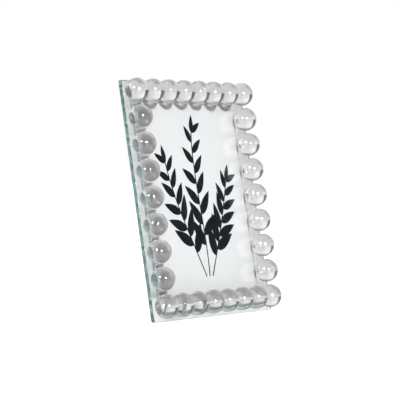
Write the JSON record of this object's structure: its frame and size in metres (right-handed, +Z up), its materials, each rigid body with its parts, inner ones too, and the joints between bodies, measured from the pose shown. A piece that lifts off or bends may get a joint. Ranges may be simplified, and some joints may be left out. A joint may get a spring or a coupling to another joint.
{
  "type": "glass picture frame",
  "caption": "Clear glass plate edged all round with solid glass balls, leaning back on a folding metal leg, with an upright print held behind it by a rear pane.",
  "frame": {"origin": "on the table, under the middle of the box round the standing frame", "axes": "+Z up, +X to the right seen from the front, the print faces -Y and leans back towards +Y"},
  "size_m": [0.242, 0.0976, 0.2904],
  "materials": {
    "plate_glass": "clear float glass with polished green-blue edges",
    "ball_glass": "clear polished solid glass",
    "print_paper": "white photo paper with a dark sprig print",
    "bond_strip": "clear bonding strip",
    "satin_steel": "satin brushed steel",
    "clear_rubber": "pale translucent rubber"
  },
  "bodies": {
    "frame": {"front_glass": "plate_glass", "rear_glass": "plate_glass", "bond_strip_left": "bond_strip", "bond_strip_right": "bond_strip", "bond_strip_bottom": "bond_strip", "hinge_plate": "satin_steel", "hinge_pin": "satin_steel", "ball_top_1": "ball_glass", "ball_top_2": "ball_glass", "ball_top_3": "ball_glass", "ball_top_4": "ball_glass", "ball_top_5": "ball_glass", "ball_top_6": "ball_glass", "ball_top_7": "ball_glass", "ball_top_8": "ball_glass", "ball_bottom_1": "ball_glass", "ball_bottom_2": "ball_glass", "ball_bottom_3": "ball_glass", "ball_bottom_4": "ball_glass", "ball_bottom_5": "ball_glass", "ball_bottom_6": "ball_glass", "ball_bottom_7": "ball_glass", "ball_bottom_8": "ball_glass", "ball_left_1": "ball_glass", "ball_left_2": "ball_glass", "ball_left_3": "ball_glass", "ball_left_4": "ball_glass", "ball_left_5": "ball_glass", "ball_left_6": "ball_glass", "ball_left_7": "ball_glass", "ball_right_1": "ball_glass", "ball_right_2": "ball_glass", "ball_right_3": "ball_glass", "ball_right_4": "ball_glass", "ball_right_5": "ball_glass", "ball_right_6": "ball_glass", "ball_right_7": "ball_glass"},
    "print": {"photo_print": "print_paper"},
    "leg": {"easel_leg": "satin_steel", "leg_foot": "clear_rubber"}
  },
  "joints": [
    {"name": "leg_fold", "type": "hinge", "parent": "frame", "child": "leg", "pos_m": [0, 0.01731, 0.16062], "axis": [1, 0, 0], "range_deg": [-19.5, 0]},
    {"name": "print_slide", "type": "slide", "parent": "frame", "child": "print", "axis": [0, 0.1736, 0.9848], "range_m": [0, 0.236]}
  ]
}
